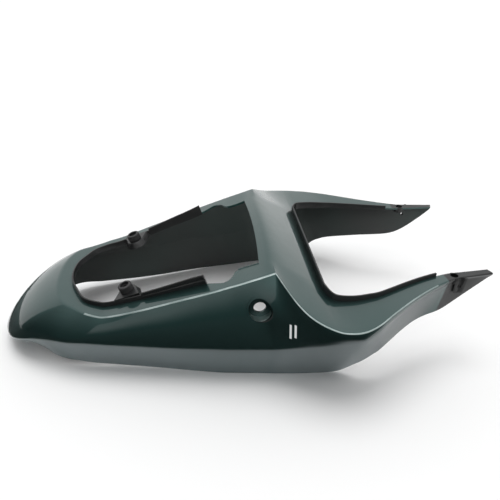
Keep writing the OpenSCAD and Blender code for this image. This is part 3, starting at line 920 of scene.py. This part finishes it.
# %% [markdown]
# ## Bare plastic, the inside and rubber
# Bare moulding shows at the lips, the ears and the arm tips. It is black with a fine grain, and
# under the tips it has a painted reflection of the pale floor, a little greyer. The inside is the
# same plastic with a thin mist of paint that went past the edges, and the grommets are matt rubber.

# %% Bare plastic, the inside and rubber
def bare_look():
    look = Look("bare_black_plastic")
    base = look.colour((0.008, 0.009, 0.009), (0.020, 0.021, 0.022), look.noise(18.0))
    # painted reflection of the pale floor on the downward faces of the arm tips
    floor_reflection_tip = look.facing_down(-0.55, -0.1) * look.axis("X").band(0.2, 0.25)
    return look.finish(Base_Color=look.colour(base, (0.10, 0.105, 0.105), floor_reflection_tip),
                       Roughness=look.noise(40.0) * 0.15 + 0.32,
                       Normal=look.bump(look.noise(900.0, 2.0), 0.12, 0.0004))


def inside_look():
    look = Look("inside_of_the_moulding")
    mist = look.noise(5.0, 2.0).band(0.35, 0.7)
    return look.finish(Base_Color=look.colour((0.044, 0.046, 0.045), (0.048, 0.068, 0.063), mist),
                       Roughness=look.noise(30.0) * 0.1 + 0.55,
                       Normal=look.bump(look.noise(500.0, 2.0), 0.15, 0.0005))


def rubber_look():
    look = Look("grommet_rubber")
    base = look.colour((0.012, 0.012, 0.013), (0.028, 0.028, 0.030), look.noise(90.0))
    return look.finish(Base_Color=base, Roughness=look.noise(120.0) * 0.12 + 0.5,
                       Normal=look.bump(look.noise(1200.0, 3.0), 0.2, 0.0003))


FINISHES = [paint_look(), bare_look(), inside_look(), painted_highlight_look()]
print([m.name for m in FINISHES])

# %% [markdown]
# ## Putting the shell together
# The lofted shell is cut for the lock and the screws, then joined with its lips, ears, cup and
# ledges into one piece, because the real part leaves its mould as one piece.

# %% One moulding
shell = shell_mesh().object("shell_skin", FINISHES)
recess = rod((-LOCK_X, -(LOCK_Y - RECESS_H), LOCK_Z), (0, -1, 0), RECESS_R, RECESS_H + 30, PAINT)
carve(shell, [recess] + arm_cutters(1) + arm_cutters(-1))

details = lips_mesh()
details.add(ears_mesh())
lock_cup(details)
trim = details.object("trim", FINISHES)
ledges = [arm_backing(FINISHES, side) for side in (1, -1)]

for obj in bpy.context.selected_objects:
    obj.select_set(False)
for obj in [shell, trim] + ledges:
    obj.select_set(True)
bpy.context.view_layer.objects.active = shell
bpy.ops.object.join()
shell.data.set_sharp_from_angle(angle=SMOOTH)
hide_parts("tail_shell")
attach(shell, "root")
shell.data.calc_loop_triangles()
print("shell", len(shell.data.vertices), "points", len(shell.data.loop_triangles), "triangles")

# %% [markdown]
# ## Grommets
# The rubber grommets are simple turned bodies. Their solids are exact and smooth already, so
# they stay and only get the rubber.

# %% Rubber on the grommets
rubber = rubber_look()
for name in ("grommet_left", "grommet_right"):
    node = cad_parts[name]
    for slot in node.material_slots:
        slot.material = rubber
    print(name, len(node.data.polygons), "faces")

# %% [markdown]
# ## Floor and flags
# A glossy dark part is lit by what it mirrors. The floor and the room are pale, and dark flags
# stand beside the tail and lie in front of the near side, as in a product studio, so that the
# side panel and the nose stay deep. A dim wall stands behind the camera. Flags and wall are
# seen only in mirror images and cast no shadow, and the upright ones grow brighter with height,
# which gives soft gradients.

# %% Floor
FLOOR, FLOOR_Z = 20, -0.0005


def plain_look(name, colour, rough):
    look = Look(name)
    low = tuple(c * 0.99 for c in colour)
    return look.finish(Base_Color=look.colour(low, colour, look.noise(1.5, 2.0)), Roughness=rough,
                       Specular_IOR_Level=0.0)


def sheet(name, points, material, faces=((0, 1, 2, 3),)):
    data = bpy.data.meshes.new(name)
    data.from_pydata(points, [], faces)
    data.materials.append(material)
    obj = bpy.data.objects.new(name, data)
    bpy.context.scene.collection.objects.link(obj)
    return obj


corners = [(x * FLOOR, y * FLOOR, FLOOR_Z) for x, y in ((-1, -1), (1, -1), (1, 1), (-1, 1))]
floor = sheet("floor", corners, plain_look("pale_table", (0.93, 0.93, 0.93), 0.45))
print(floor.name, 2 * FLOOR, "m square")

# %% Flags
FAR, TOP, SIDE_BACK, NOSE_BACK = 3.0, 4.6, 0.8, 0.3
HUG, LIFT, FLAG_STEPS = 0.032, 0.002, 76


def flag_look(name, bright, top):
    """Near black at the horizon and grey above, like a wall of the studio."""
    look = Look(name)
    glow = look.colour((0.01, 0.012, 0.012), (bright, bright, bright), look.axis("Z").band(0.1, top))
    return look.finish(Base_Color=(0.004, 0.004, 0.004), Roughness=0.9,
                       Emission_Color=glow, Emission_Strength=1.0)


def hugging_flag(material):
    """A dark cloth on the floor that follows the belly of the near side at a small distance."""
    near = []
    for i in range(FLAG_STEPS + 1):
        t = ST_ARM * i / FLAG_STEPS
        run = along(BELLY, t)
        out = Vector((-run.y, run.x, 0)).normalized()
        q = BELLY.at(t) * MM + Vector((SHIFT * MM, 0, 0)) + out * HUG
        near.append((q.x, -q.y))
    near = [(near[0][0], NOSE_BACK)] + near + [(FAR, near[-1][1])]
    front = [(-FAR + 2 * FAR * i / FLAG_STEPS, -FAR) for i in range(FLAG_STEPS + 1)]
    away = [(-FAR, NOSE_BACK)] + front + [(FAR, -FAR)]
    n = len(near)
    points = [(x, y, LIFT) for x, y in near + away]
    return sheet("flag_floor", points, material, [(i, i + 1, n + i + 1, n + i) for i in range(n - 1)])


dark, dim = flag_look("dark_flag", 0.75, 5.0), flag_look("dim_wall", 0.85, 1.0)
wall = [(-FAR, -FAR, 0), (FAR, -FAR, 0), (FAR, -FAR, TOP), (-FAR, -FAR, TOP)]
beside = [(-FAR, SIDE_BACK, 0), (-FAR, -FAR, 0), (-FAR, -FAR, TOP), (-FAR, SIDE_BACK, TOP)]
flags = [sheet("flag_wall", wall, dim), sheet("flag_side", beside, dark), hugging_flag(dark)]
for flag in flags:
    flag.visible_camera = flag.visible_transmission = False
    flag.visible_diffuse = flag.visible_shadow = False
print("flags", [flag.name for flag in flags])

# %% [markdown]
# ## Light
# In the photograph the light comes from above and behind, with a dark room in front. The world
# does the same for matt surfaces: it is bright overhead and at the far side and black in front,
# which gives the soft, dark line of shadow under the near edge. The camera and every mirror
# image see it plain white. A soft sun adds the shadow's direction, and a strip above the camera
# is there only for the highlights on the creases.

# %% World
studio = Look("studio", bpy.data.worlds)
bpy.context.scene.world = studio.material
ray = studio.node("ShaderNodeLightPath")
seen = ray.out("Is Camera Ray").most(ray.out("Is Glossy Ray")).most(ray.out("Is Transmission Ray"))
way = studio.node("ShaderNodeTexCoord").out("Generated")
light = (studio.part_of(way, "Y") * 0.8 + studio.part_of(way, "Z") * 0.6).band(-0.3, 0.45)
sky = studio.node("ShaderNodeBackground", None, {
    "Color": (1, 1, 1, 1), "Strength": light + seen * (1 - light)})
studio.node("ShaderNodeOutputWorld", None, {"Surface": sky.out()})
print("world", len(studio.tree.nodes), "nodes")


# %% Sun and strip
def lamp(name, kind, place, target, energy):
    data = bpy.data.lights.new(name, kind)
    data.energy = energy
    obj = bpy.data.objects.new(name, data)
    obj.location = place
    obj.rotation_euler = (Vector(target) - Vector(place)).to_track_quat("-Z", "Y").to_euler()
    bpy.context.scene.collection.objects.link(obj)
    return obj


key = lamp("key", "SUN", (-0.05, 0.5, 2.2), (0, 0, 0), 1.28)
key.data.angle = math.radians(40)
key.visible_glossy = False
strip = lamp("strip", "AREA", (0.0, -1.3, 1.9), (0, 0, 0.1), 12)
strip.data.shape, strip.data.size, strip.data.size_y = "RECTANGLE", 3.0, 0.25
strip.visible_diffuse = False
print("lamps", key.name, strip.name)

# %% [markdown]
# ## Camera
# The camera was fitted to the photograph's outline: it stands a little to the rear of the
# middle, on the right side, and looks down by 31 degrees.

# %% Camera at the photograph's angle
AZIMUTH, ELEVATION = math.radians(-6.332), math.radians(31.0)
EYE, SENSOR, LENS = Vector((-0.0566, -0.7309, 0.5642)), 36.0, 37.594
right = Vector((math.cos(AZIMUTH), math.sin(AZIMUTH), 0))
forward = Vector((-math.sin(AZIMUTH) * math.cos(ELEVATION), math.cos(AZIMUTH) * math.cos(ELEVATION),
                  -math.sin(ELEVATION)))
up = right.cross(forward)
camera_data = bpy.data.cameras.new("camera")
camera_data.sensor_width, camera_data.lens = SENSOR, LENS
camera_data.clip_start, camera_data.clip_end = 0.02, 50
camera = bpy.data.objects.new("camera", camera_data)
camera.matrix_world = Matrix.Translation(EYE) @ Matrix((right, up, -forward)).transposed().to_4x4()
bpy.context.scene.collection.objects.link(camera)
bpy.context.scene.camera = camera
bpy.context.scene.view_settings.view_transform = "Standard"
print("camera", tuple(round(v, 3) for v in EYE), "lens", LENS)
